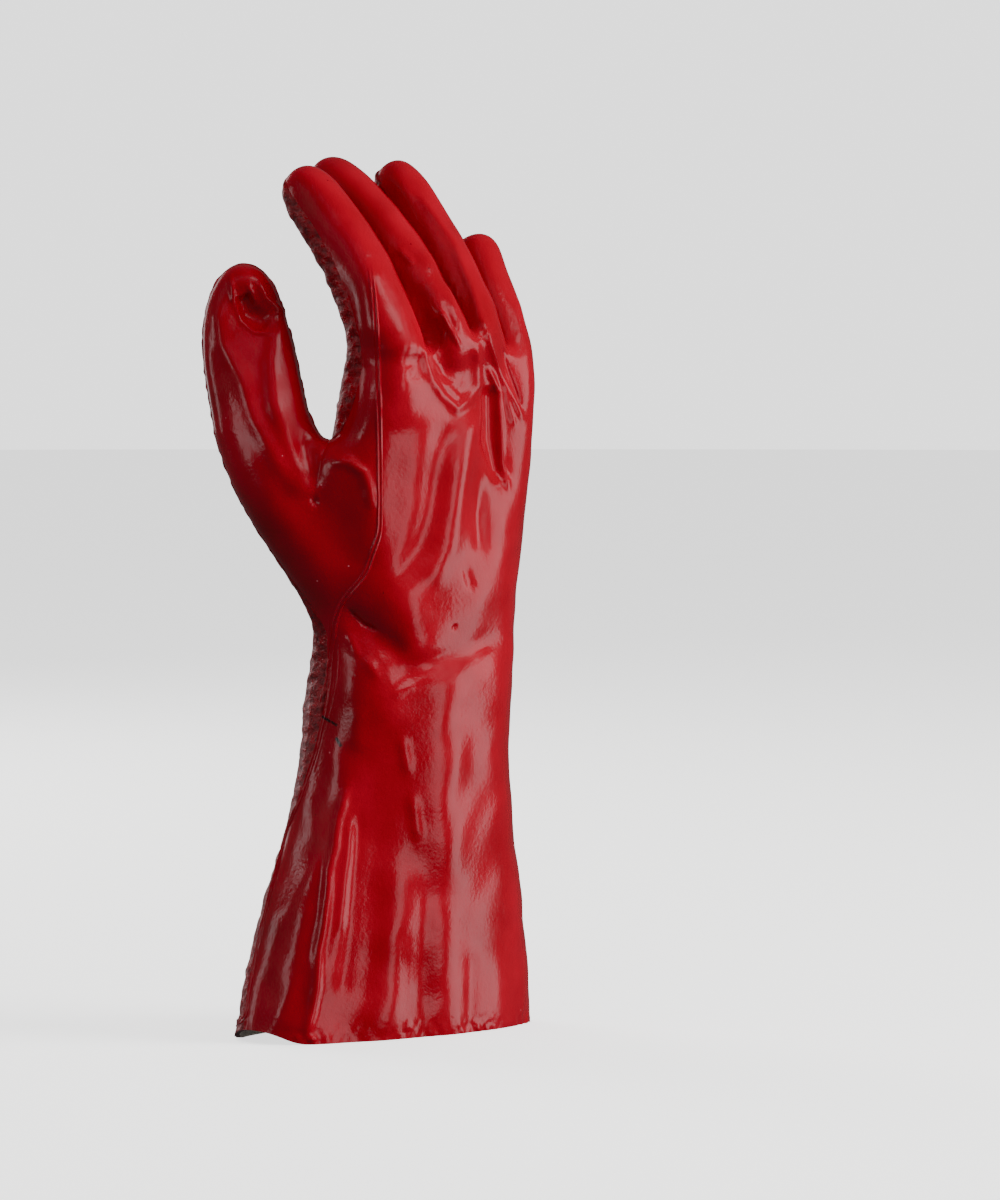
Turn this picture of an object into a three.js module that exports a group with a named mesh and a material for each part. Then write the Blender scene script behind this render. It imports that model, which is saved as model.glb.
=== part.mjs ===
// A PVC coated gauntlet work glove for the right hand, size 10, standing on its open cuff.
// Millimetres, +Z up. The thumb side faces -X, the back of the hand faces -Y and the palm faces +Y.
//
// The wall is one smooth hollow surface. A coarse cage of rings is laid along the cuff, the hand, each finger
// and the thumb, and is rounded by Catmull-Clark subdivision so that the surface passes through every ring.
// Folds press the surface in or out. The wall is then split along the side seam into the smooth back panel and
// the rough palm panel.
import * as THREE from 'three';

// Driving dimensions.
const CUFF_LENGTH = 126; // cuff edge to wrist
const HAND_LENGTH = 128; // wrist to finger crotches
const CUFF_WIDTH = 139; // across the mouth, thumb side to little finger side
const CUFF_DEPTH = 58; // across the mouth, back to palm
const WRIST_WIDTH = 89;
const WRIST_DEPTH = 54;
const HAND_WIDTH = 93; // across the four fingers
const HAND_DEPTH = 43;
const KNUCKLE_ARCH = 10; // how far the middle knuckles stand behind the outer ones
const KNUCKLE_DRIFT = 12; // how far the knuckles lie towards the little finger from the mouth's middle
const KNUCKLE_LEAN = 20; // how far the knuckles lie towards the back from the mouth's middle
const WEB_DEPTH = 26; // back to palm at the webs between the fingers
const INDEX_LENGTH = 86; // crotch to tip
const MIDDLE_LENGTH = 92;
const RING_LENGTH = 82;
const LITTLE_LENGTH = 51;
const FINGER_WIDTH = 23; // the index finger's lower half
const THUMB_LENGTH = 104; // thumb root on the hand's side to its tip
const THUMB_WIDTH = 35;
const THUMB_DEPTH = 23;
const WALL = 1.4; // coat and bonded lining together
const GRIP_COAT = 0.5; // extra thickness of the rough palm coat
const SEAM_GAP = 0.35; // between the two panels
const FOLD_DEPTH = 8; // the deepest fold
const CORNER_CLIP = 5; // the cuff's edge rises this far at its thumb side corner
const CHART_YAW = THREE.MathUtils.degToRad(45); // the folds are charted from this far round to the thumb side

// Numerical settings.
const ROUNDING_LEVELS = 2;
const FITTING_STEPS = 12;
const BACK = 0;
const PALM = 1;
const SEAM = 0.5;

// Rings up the cuff and the hand. up: share of the cuff's and the hand's length. Each width and depth mixes the
// mouth's, the wrist's and the knuckles' size by the shares mouth, wrist and hand. shift: share of the knuckles'
// drift and lean. thumb: the rings where the thumb's root starts and ends.
const BODY_RINGS = [
  { cuff: 0.0, palm: 0.0, mouth: 1.0, wrist: 0.0, hand: 0.0, shift: 0.0 },
  { cuff: 0.34, palm: 0.0, mouth: 0.68, wrist: 0.32, hand: 0.0, shift: 0.13 },
  { cuff: 0.68, palm: 0.0, mouth: 0.16, wrist: 0.84, hand: 0.0, shift: 0.3 },
  { cuff: 1.0, palm: 0.0, mouth: 0.0, wrist: 1.0, hand: 0.0, shift: 0.42 },
  { cuff: 1.0, palm: 0.22, mouth: 0.0, wrist: 0.8, hand: 0.2, shift: 0.5, thumb: 'start' },
  { cuff: 1.0, palm: 0.5, mouth: 0.0, wrist: 0.2, hand: 0.8, shift: 0.67 },
  { cuff: 1.0, palm: 0.77, mouth: 0.0, wrist: 0.0, hand: 1.0, shift: 0.82, thumb: 'end' },
];

// Points of one ring, from the thumb side to the little finger's side, as shares of half its width and depth.
const RING_COLUMNS = [
  { across: -0.94, out: 0.4 },
  { across: -0.54, out: 0.88 },
  { across: 0.0, out: 1.0 },
  { across: 0.54, out: 0.88 },
  { across: 0.94, out: 0.4 },
];

// Webs and outer edges where the fingers start. across: share of half the hand's width. arch: share of the
// knuckle arch. rise: share of the finger width above the mean crotch height. deep: share of the web's depth.
const CROTCHES = [
  { across: -0.92, arch: 0.35, rise: -0.3, deep: 1.0 },
  { across: -0.49, arch: 0.85, rise: 0.0, deep: 1.0 },
  { across: 0.0, arch: 0.7, rise: 0.2, deep: 0.95 },
  { across: 0.49, arch: 0.05, rise: 0.0, deep: 0.9 },
  { across: 0.9, arch: -0.6, rise: -0.35, deep: 0.85 },
];

// Fingers. lean and curl: degrees towards the palm at the crotch and at the tip. spread: degrees towards the
// little finger. wide: share of the finger width.
const FINGERS = [
  { length: INDEX_LENGTH, wide: 1.03, lean: 14, curl: 52, spread: -6 },
  { length: MIDDLE_LENGTH, wide: 1.0, lean: 24, curl: 60, spread: -3 },
  { length: RING_LENGTH, wide: 0.95, lean: 22, curl: 46, spread: -2 },
  { length: LITTLE_LENGTH, wide: 0.88, lean: 12, curl: 36, spread: 4 },
];

// Rings along a finger. along: share of its length. size, deep: shares of its width.
const FINGER_RINGS = [
  { along: 0.19, size: 0.97, deep: 1.24 },
  { along: 0.46, size: 0.96, deep: 1.08 },
  { along: 0.73, size: 0.88, deep: 0.94 },
  { along: 0.93, size: 0.66, deep: 0.68 },
];

// Rings along the thumb. out, front, up: shares of the thumb's length from its root. turn: degrees from the
// root's upright plane to the level plane. wide, deep: shares of the thumb's width and depth. crown: how far
// the middle of a ring stands above its corners, as a share of the length.
const THUMB_RINGS = [
  { out: 0.12, front: 0.16, up: 0.18, turn: 42, wide: 1.22, deep: 1.15, crown: 0 },
  { out: 0.155, front: 0.27, up: 0.45, turn: 72, wide: 1.05, deep: 1.05, crown: 0 },
  { out: 0.16, front: 0.325, up: 0.7, turn: 86, wide: 0.95, deep: 0.95, crown: 0.01 },
  { out: 0.15, front: 0.34, up: 0.87, turn: 92, wide: 0.62, deep: 0.66, crown: 0.035 },
];

// Folds, charted from CHART_YAW: across is a share of half the hand's width, up a share of the height to the
// crotches. A fold runs from one end to the other, wide is a share of the finger width, and press a share of
// the fold depth, positive where it goes in. face: 1 on the chart's near side, -1 on its far side.
const FOLDS = [
  { across: [0.42, 0.57], up: [1.0, 0.93], wide: 0.36, press: 0.8, face: 1 }, // between index and middle knuckle
  { across: [0.86, 0.95], up: [0.96, 0.81], wide: 0.3, press: 0.85, face: 1 }, // behind the ring finger's knuckle
  { across: [0.78, 0.88], up: [0.99, 0.94], wide: 0.25, press: 0.6, face: 1 }, // between middle and ring knuckle
  { across: [1.02, 1.07], up: [0.96, 0.89], wide: 0.25, press: 0.5, face: 1 }, // between ring and little knuckle
  { across: [-0.06, 0.34], up: [0.99, 0.99], wide: 0.24, press: 0.35, face: 1 }, // across the index knuckle
  { across: [0.76, 0.78], up: [0.79, 0.71], wide: 0.24, press: 0.4, face: 1 }, // along the back of the hand
  { across: [-0.64, -0.54], up: [0.86, 0.78], wide: 0.32, press: 0.75, face: 1 }, // between thumb and hand
  { across: [-0.4, -0.13], up: [0.83, 0.78], wide: 0.3, press: -0.45, face: 1 }, // bump beside that fold
  { across: [-0.29, -0.02], up: [0.62, 0.59], wide: 0.26, press: 0.85, face: 1 }, // below the thumb's root
  { across: [0.05, 0.33], up: [0.64, 0.57], wide: 0.4, press: -0.35, face: 1 }, // bulge beside that fold
  { across: [0.18, 0.94], up: [0.54, 0.59], wide: 0.3, press: 0.45, face: 1 }, // across the wrist
  { across: [-0.29, -0.45], up: [0.36, 0.23], wide: 0.26, press: -0.4, face: 1 }, // upright crease, upper part
  { across: [-0.45, -0.62], up: [0.23, 0], wide: 0.26, press: -0.4, face: 1 }, // upright crease, lower part
  { across: [-0.06, -0.24], up: [0.35, 0.04], wide: 0.3, press: 0.3, face: 1 }, // trough beside the crease
  { across: [0.43, 0.53], up: [0.42, 0.06], wide: 0.34, press: -0.25, face: 1 }, // soft ridge up the cuff
  { across: [-1.08, -0.95], up: [1.07, 1.03], wide: 0.3, press: 0.65, face: 1 }, // pinch in the thumb's tip
  { across: [-0.78, -0.76], up: [1.01, 0.9], wide: 0.24, press: -0.25, face: 1 }, // ridge along the thumb
  { across: [-0.1, 0.6], up: [0.9, 0.8], wide: 0.24, press: 0.3, face: -1 }, // crease across the palm
  { across: [-0.35, 0.0], up: [0.86, 0.6], wide: 0.28, press: 0.35, face: -1 }, // round the ball of the thumb
  { across: [-0.2, 0.7], up: [0.5, 0.53], wide: 0.3, press: 0.35, face: -1 }, // across the inner wrist
  { across: [0.2, 0.35], up: [0.36, 0.06], wide: 0.34, press: -0.3, face: -1 }, // soft ridge up the palm side of the cuff
];

// Points are [x, y, z, side], and side runs from BACK to PALM round the glove.
const mix = (a, b, t) => a.map((value, i) => value + (b[i] - value) * t);
const sum = (list) => list[0].map((_, i) => list.reduce((total, point) => total + point[i], 0));
const mean = (list) => sum(list).map((value) => value / list.length);
const place = (point) => new THREE.Vector3(point[0], point[1], point[2]);

const CROTCH_HEIGHT = CUFF_LENGTH + HAND_LENGTH;

// One closed ring of the cuff or the hand: back from thumb side to little finger side, then palm and back.
function bodyRing(row) {
  const halfWidth = (row.mouth * CUFF_WIDTH + row.wrist * WRIST_WIDTH + row.hand * HAND_WIDTH) / 2;
  const halfDepth = (row.mouth * CUFF_DEPTH + row.wrist * WRIST_DEPTH + row.hand * HAND_DEPTH) / 2;
  const z = row.cuff * CUFF_LENGTH + row.palm * HAND_LENGTH;
  const point = (column, side) => [
    row.shift * KNUCKLE_DRIFT + column.across * halfWidth,
    -row.shift * KNUCKLE_LEAN + (side === BACK ? -1 : 1) * column.out * halfDepth,
    z,
    side,
  ];
  const back = RING_COLUMNS.map((column) => point(column, BACK));
  const palm = RING_COLUMNS.map((column) => point(column, PALM)).reverse();
  return [...back, ...palm];
}

// The ring through the webs, in the same order as bodyRing.
function crotchRing() {
  const point = (row, side) => [
    KNUCKLE_DRIFT + (row.across * HAND_WIDTH) / 2,
    -KNUCKLE_LEAN - row.arch * KNUCKLE_ARCH + ((side === BACK ? -1 : 1) * row.deep * WEB_DEPTH) / 2,
    CROTCH_HEIGHT + row.rise * FINGER_WIDTH,
    side,
  ];
  const back = CROTCHES.map((row) => point(row, BACK));
  const palm = CROTCHES.map((row) => point(row, PALM)).reverse();
  return [...back, ...palm];
}

// Four corner points round a finger, in the order back, back, palm, palm.
function fingerRing(centre, direction, width, depth) {
  const side = new THREE.Vector3(1, 0, 0).projectOnPlane(direction).normalize();
  const front = new THREE.Vector3().crossVectors(direction, side);
  const reach = [width, depth].map((size) => (size / 2) * Math.SQRT1_2);
  return [[-1, -1, BACK], [1, -1, BACK], [1, 1, PALM], [-1, 1, PALM]].map(([s, f, label]) => {
    const at = centre.clone().addScaledVector(side, s * reach[0]).addScaledVector(front, f * reach[1]);
    return [at.x, at.y, at.z, label];
  });
}

// The rings of one finger, which starts at the middle of its four points on the crotch ring.
function fingerRings(finger, base) {
  const centre = place(mean(base));
  const steps = 24;
  const spread = THREE.MathUtils.degToRad(finger.spread);
  const rings = [];
  let along = 0;
  for (const row of FINGER_RINGS) {
    const direction = new THREE.Vector3();
    const count = Math.round((row.along - along) * steps);
    for (let i = 0; i < count; i++) {
      const share = along + ((i + 0.5) / count) * (row.along - along);
      const bend = THREE.MathUtils.degToRad(finger.lean + (finger.curl - finger.lean) * share);
      direction.set(Math.tan(spread), Math.sin(bend), Math.cos(bend)).normalize();
      centre.addScaledVector(direction, ((row.along - along) * finger.length) / count);
    }
    along = row.along;
    const width = finger.wide * FINGER_WIDTH;
    rings.push(fingerRing(centre, direction, row.size * width, row.deep * width));
  }
  return rings;
}

// Six points round the thumb, in the order of its hole in the hand's side.
function thumbRing(row, root) {
  const centre = root.clone();
  centre.x -= row.out * THUMB_LENGTH;
  centre.y += row.front * THUMB_LENGTH;
  centre.z += row.up * THUMB_LENGTH;
  const turn = THREE.MathUtils.degToRad(row.turn);
  const level = new THREE.Vector3(Math.cos(CHART_YAW), -Math.sin(CHART_YAW), 0);
  const wide = new THREE.Vector3(0, 0, Math.cos(turn)).addScaledVector(level, Math.sin(turn));
  const back = new THREE.Vector3(-Math.sin(CHART_YAW), -Math.cos(CHART_YAW), 0);
  const columns = [
    { across: -0.84, out: -0.55, side: PALM },
    { across: -0.84, out: 0.55, side: BACK },
    { across: 0.0, out: 1.0, side: BACK },
    { across: 0.84, out: 0.55, side: BACK },
    { across: 0.84, out: -0.55, side: PALM },
    { across: 0.0, out: -1.0, side: PALM },
  ];
  return columns.map(({ across, out, side }) => {
    const at = centre
      .clone()
      .addScaledVector(wide, (across * row.wide * THUMB_WIDTH) / 2)
      .addScaledVector(back, (out * row.deep * THUMB_DEPTH) / 2);
    if (across === 0) at.z += row.crown * THUMB_LENGTH;
    return [at.x, at.y, at.z, side];
  });
}

// The coarse cage: points to pass through, and four-sided faces that point out.
function buildCage() {
  const points = [];
  const faces = [];
  const add = (ring) => ring.map((point) => points.push(point) - 1);
  const skirt = (low, high, skip) => {
    low.forEach((_, i) => {
      const next = (i + 1) % low.length;
      if (i !== skip) faces.push([low[i], low[next], high[next], high[i]]);
    });
  };

  const body = [...BODY_RINGS.map(bodyRing), crotchRing()].map(add);
  const thumbColumn = body[0].length - 1; // the face between the last and the first point of a ring
  const [start, end] = ['start', 'end'].map((mark) => BODY_RINGS.findIndex((row) => row.thumb === mark));
  body.slice(1).forEach((high, i) => {
    const open = i >= start && i < end;
    skirt(body[i], high, open ? thumbColumn : -1);
  });

  const crotch = body[body.length - 1];
  FINGERS.forEach((finger, i) => {
    let low = [crotch[i], crotch[i + 1], crotch[thumbColumn - i - 1], crotch[thumbColumn - i]];
    for (const ring of fingerRings(finger, low.map((index) => points[index]))) {
      const high = add(ring);
      skirt(low, high);
      low = high;
    }
    faces.push(low);
  });

  const [foot, middle, top] = [start, start + 1, end].map((row) => ({
    back: body[row][0],
    palm: body[row][thumbColumn],
  }));
  let low = [foot.palm, foot.back, middle.back, top.back, top.palm, middle.palm];
  const root = place(mean(low.map((index) => points[index])));
  for (const row of THUMB_RINGS) {
    const high = add(thumbRing(row, root));
    skirt(low, high);
    low = high;
  }
  faces.push([low[0], low[1], low[2], low[5]], [low[5], low[2], low[3], low[4]]);
  return { points, faces };
}

// One Catmull-Clark step. The old points keep their places in the list.
function roundOnce({ points, faces }) {
  const edges = new Map();
  const around = points.map(() => ({ faces: [], edges: [] }));
  const facePoints = faces.map((face) => mean(face.map((index) => points[index])));
  faces.forEach((face, f) => {
    face.forEach((a, i) => {
      const b = face[(i + 1) % face.length];
      const key = a < b ? `${a},${b}` : `${b},${a}`;
      if (!edges.has(key)) {
        const edge = { ends: [a, b], faces: [] };
        edges.set(key, edge);
        around[a].edges.push(edge);
        around[b].edges.push(edge);
      }
      edges.get(key).faces.push(f);
      around[a].faces.push(f);
    });
  });

  const moved = points.map((point, i) => {
    const rim = around[i].edges.filter((edge) => edge.faces.length === 1);
    const middles = (list) => mean(list.map(({ ends }) => mix(points[ends[0]], points[ends[1]], 0.5)));
    if (rim.length) return mix(point, middles(rim), 0.5);
    const count = around[i].edges.length;
    const parts = [
      mean(around[i].faces.map((f) => facePoints[f])),
      middles(around[i].edges).map((value) => 2 * value),
      point.map((value) => (count - 3) * value),
    ];
    return sum(parts).map((value) => value / count);
  });

  const result = [...moved, ...facePoints];
  for (const edge of edges.values()) {
    const ends = edge.ends.map((index) => points[index]);
    const sides = edge.faces.length === 1 ? [] : edge.faces.map((f) => facePoints[f]);
    edge.index = result.push(mean([...ends, ...sides])) - 1;
  }
  const edgeIndex = (a, b) => edges.get(a < b ? `${a},${b}` : `${b},${a}`).index;
  const quads = faces.flatMap((face, f) =>
    face.map((corner, i) => {
      const next = face[(i + 1) % face.length];
      const last = face[(i + face.length - 1) % face.length];
      return [corner, edgeIndex(corner, next), moved.length + f, edgeIndex(last, corner)];
    }),
  );
  return { points: result, faces: quads };
}

function roundCage(cage) {
  let mesh = cage;
  for (let i = 0; i < ROUNDING_LEVELS; i++) mesh = roundOnce(mesh);
  return mesh;
}

// Moves the cage until its rounded surface passes through the points that were asked for.
function fitCage(cage) {
  const wanted = cage.points;
  let points = wanted;
  for (let step = 0; step < FITTING_STEPS; step++) {
    const rounded = roundCage({ points, faces: cage.faces }).points;
    points = points.map((point, i) => {
      const shifted = point.map((value, k) => value + wanted[i][k] - rounded[i][k]);
      return [shifted[0], shifted[1], shifted[2], point[3]];
    });
  }
  return roundCage({ points, faces: cage.faces });
}

// Unit normals at the points, from the faces round each.
function pointNormals({ points, faces }) {
  const normals = points.map(() => new THREE.Vector3());
  for (const face of faces) {
    const [a, b, c, d] = face.map((index) => place(points[index]));
    const normal = c.sub(a).cross(d.sub(b));
    face.forEach((index) => normals[index].add(normal));
  }
  return normals.map((normal) => normal.normalize());
}

// How far each point is pressed in by the folds, each fold on its own side of the chart.
function foldPress(mesh, normals) {
  const across = new THREE.Vector3(Math.cos(CHART_YAW), -Math.sin(CHART_YAW), 0);
  const away = new THREE.Vector3(Math.sin(CHART_YAW), Math.cos(CHART_YAW), 0);
  const lines = FOLDS.map((fold) => {
    const end = (i) =>
      new THREE.Vector3((fold.across[i] * HAND_WIDTH) / 2, fold.up[i] * CROTCH_HEIGHT, 0);
    return new THREE.Line3(end(0), end(1));
  });
  return mesh.points.map((point, i) => {
    const chart = new THREE.Vector3(place(point).dot(across), point[2], 0);
    const near = -normals[i].dot(away);
    return FOLDS.reduce((total, fold, f) => {
      const nearest = lines[f].closestPointToPoint(chart, true, new THREE.Vector3());
      const share = nearest.distanceTo(chart) / (fold.wide * FINGER_WIDTH);
      const facing = THREE.MathUtils.smoothstep(fold.face * near, 0, 0.5);
      return total + fold.press * FOLD_DEPTH * facing * Math.exp(-share * share);
    }, 0);
  });
}

// Evens out one value per point over the faces round it.
function evenOut(mesh, values) {
  const around = values.map(() => []);
  for (const face of mesh.faces) {
    const middle = face.reduce((total, index) => total + values[index], 0) / face.length;
    face.forEach((index) => around[index].push(middle));
  }
  return around.map((list) => list.reduce((total, value) => total + value, 0) / list.length);
}

function pressFolds(mesh) {
  const normals = pointNormals(mesh);
  const press = evenOut(mesh, foldPress(mesh, normals));
  const points = mesh.points.map((point, i) => {
    const at = place(point).addScaledVector(normals[i], -press[i]);
    return [at.x, at.y, point[2] === 0 ? 0 : at.z, point[3]];
  });
  return { points, faces: mesh.faces };
}

// Lifts the cuff's edge at its thumb side corner.
function clipCorner(mesh) {
  const points = mesh.points.map(([x, y, z, side]) => {
    const corner = THREE.MathUtils.smoothstep((-2 * x) / CUFF_WIDTH, 0.88, 1);
    const low = 1 - THREE.MathUtils.smoothstep(z, 0, 6 * CORNER_CLIP);
    return [x, y, z + corner * low * CORNER_CLIP, side];
  });
  return { points, faces: mesh.faces };
}

// The mean side of a face, BACK to PALM.
const sideOf = (mesh, face) => mean(face.map((index) => mesh.points[index]))[3];

// The edges that only one of the faces has, each as its two points in that face's order.
function openEdges(faces) {
  const edges = new Map();
  for (const face of faces) {
    face.forEach((a, i) => {
      const b = face[(i + 1) % face.length];
      if (edges.has(`${b},${a}`)) edges.delete(`${b},${a}`);
      else edges.set(`${a},${b}`, [a, b]);
    });
  }
  return [...edges.values()];
}

// One panel as a closed wall: the outer faces of its side, the same faces WALL further in, and the cut edges.
function panelGeometry(mesh, isPalm) {
  const normals = pointNormals(mesh);
  const rim = new Set(openEdges(mesh.faces).flat());
  const faces = mesh.faces.filter((face) => sideOf(mesh, face) > SEAM === isPalm);
  const edges = openEdges(faces);
  const isOnSeam = (i) => Math.abs(mesh.points[i][3] - SEAM) < 1e-6;

  // Where the seam runs at each of its points: the mean direction of the edges that meet there.
  const runs = new Map();
  for (const [a, b] of edges) {
    if (!isOnSeam(a) || !isOnSeam(b)) continue;
    const run = place(mesh.points[b]).sub(place(mesh.points[a])).normalize();
    for (const i of [a, b]) runs.set(i, (runs.get(i) ?? new THREE.Vector3()).add(run));
  }

  const outer = [];
  const inner = [];
  mesh.points.forEach((point, i) => {
    const normal = normals[i].clone();
    if (rim.has(i)) normal.setZ(0).normalize();
    const at = place(point);
    if (runs.has(i)) {
      const inwards = new THREE.Vector3().crossVectors(normal, runs.get(i));
      if (rim.has(i)) inwards.setZ(0);
      at.addScaledVector(inwards.normalize(), SEAM_GAP / 2);
    }
    const coat = isPalm && !runs.has(i) ? GRIP_COAT : 0;
    outer[i] = at.clone().addScaledVector(normal, coat);
    inner[i] = at.clone().addScaledVector(normal, -WALL);
  });

  const triangles = [];
  const quad = (a, b, c, d) => triangles.push(a, b, c, a, c, d);
  for (const [a, b, c, d] of faces) {
    quad(outer[a], outer[b], outer[c], outer[d]);
    quad(inner[d], inner[c], inner[b], inner[a]);
  }
  for (const [a, b] of edges) quad(outer[b], outer[a], inner[a], inner[b]);
  return new THREE.BufferGeometry().setFromPoints(triangles);
}

const SMOOTH_COAT = new THREE.MeshStandardMaterial({ color: 0xb3061c, roughness: 0.22, metalness: 0 });
const ROUGH_COAT = new THREE.MeshStandardMaterial({ color: 0x7d0713, roughness: 0.42, metalness: 0 });

function panel(name, mesh, isPalm, material) {
  const made = new THREE.Mesh(panelGeometry(mesh, isPalm), material);
  made.name = name;
  return made;
}

const surface = clipCorner(pressFolds(fitCage(buildCage())));
const glove = new THREE.Group();
glove.add(panel('back_panel', surface, false, SMOOTH_COAT));
glove.add(panel('palm_panel', surface, true, ROUGH_COAT));

// The origin is under the middle of the glove's box, on the surface that it stands on.
const middle = new THREE.Box3().setFromObject(glove).getCenter(new THREE.Vector3());
glove.position.set(-middle.x, -middle.y, 0);

export default glove;
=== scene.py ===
"""A PVC coated gauntlet work glove, standing on its open cuff.

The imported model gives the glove's wall. Here its outer sheet is refined, the dents, folds and seams of the coat
are pressed into it, and it is closed again with a lining inside. Lengths in the tables are millimetres.
"""
import math

import bmesh
import bpy
import numpy as np
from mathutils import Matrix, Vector
from mathutils.bvhtree import BVHTree
from mathutils.kdtree import KDTree


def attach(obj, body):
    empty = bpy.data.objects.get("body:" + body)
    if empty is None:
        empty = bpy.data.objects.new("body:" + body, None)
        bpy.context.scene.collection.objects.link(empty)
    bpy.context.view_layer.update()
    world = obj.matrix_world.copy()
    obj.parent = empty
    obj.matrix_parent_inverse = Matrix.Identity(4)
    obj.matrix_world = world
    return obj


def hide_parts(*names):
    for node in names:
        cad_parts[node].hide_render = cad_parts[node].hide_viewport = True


bl_info = {
    "name": "Coated work glove",
    "version": (1, 0, 0),
    "blender": (4, 5, 0),
    "location": "View3D > Sidebar > Glove",
    "description": "Builds a PVC coated gauntlet work glove on its packed model",
    "category": "Object",
}

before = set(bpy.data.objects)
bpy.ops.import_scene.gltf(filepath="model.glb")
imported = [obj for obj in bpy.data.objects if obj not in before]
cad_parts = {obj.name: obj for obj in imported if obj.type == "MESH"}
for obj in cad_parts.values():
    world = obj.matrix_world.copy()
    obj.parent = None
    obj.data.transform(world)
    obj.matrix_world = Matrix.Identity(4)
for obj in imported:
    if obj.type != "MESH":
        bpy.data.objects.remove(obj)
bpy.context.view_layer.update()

MM = 0.001
Z = np.array([0.0, 0.0, 1.0])

# The chart is the glove as the camera sees it: u to the right of the cuff's middle and v up from the floor.
VIEW_AZIMUTH = math.radians(-45)
VIEW_ELEVATION = math.radians(5)
RIGHT = np.array([math.cos(VIEW_AZIMUTH), math.sin(VIEW_AZIMUTH), 0.0])
AWAY = np.array([-math.sin(VIEW_AZIMUTH), math.cos(VIEW_AZIMUTH), 0.0])
UP = math.sin(VIEW_ELEVATION) * AWAY + math.cos(VIEW_ELEVATION) * Z

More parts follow.
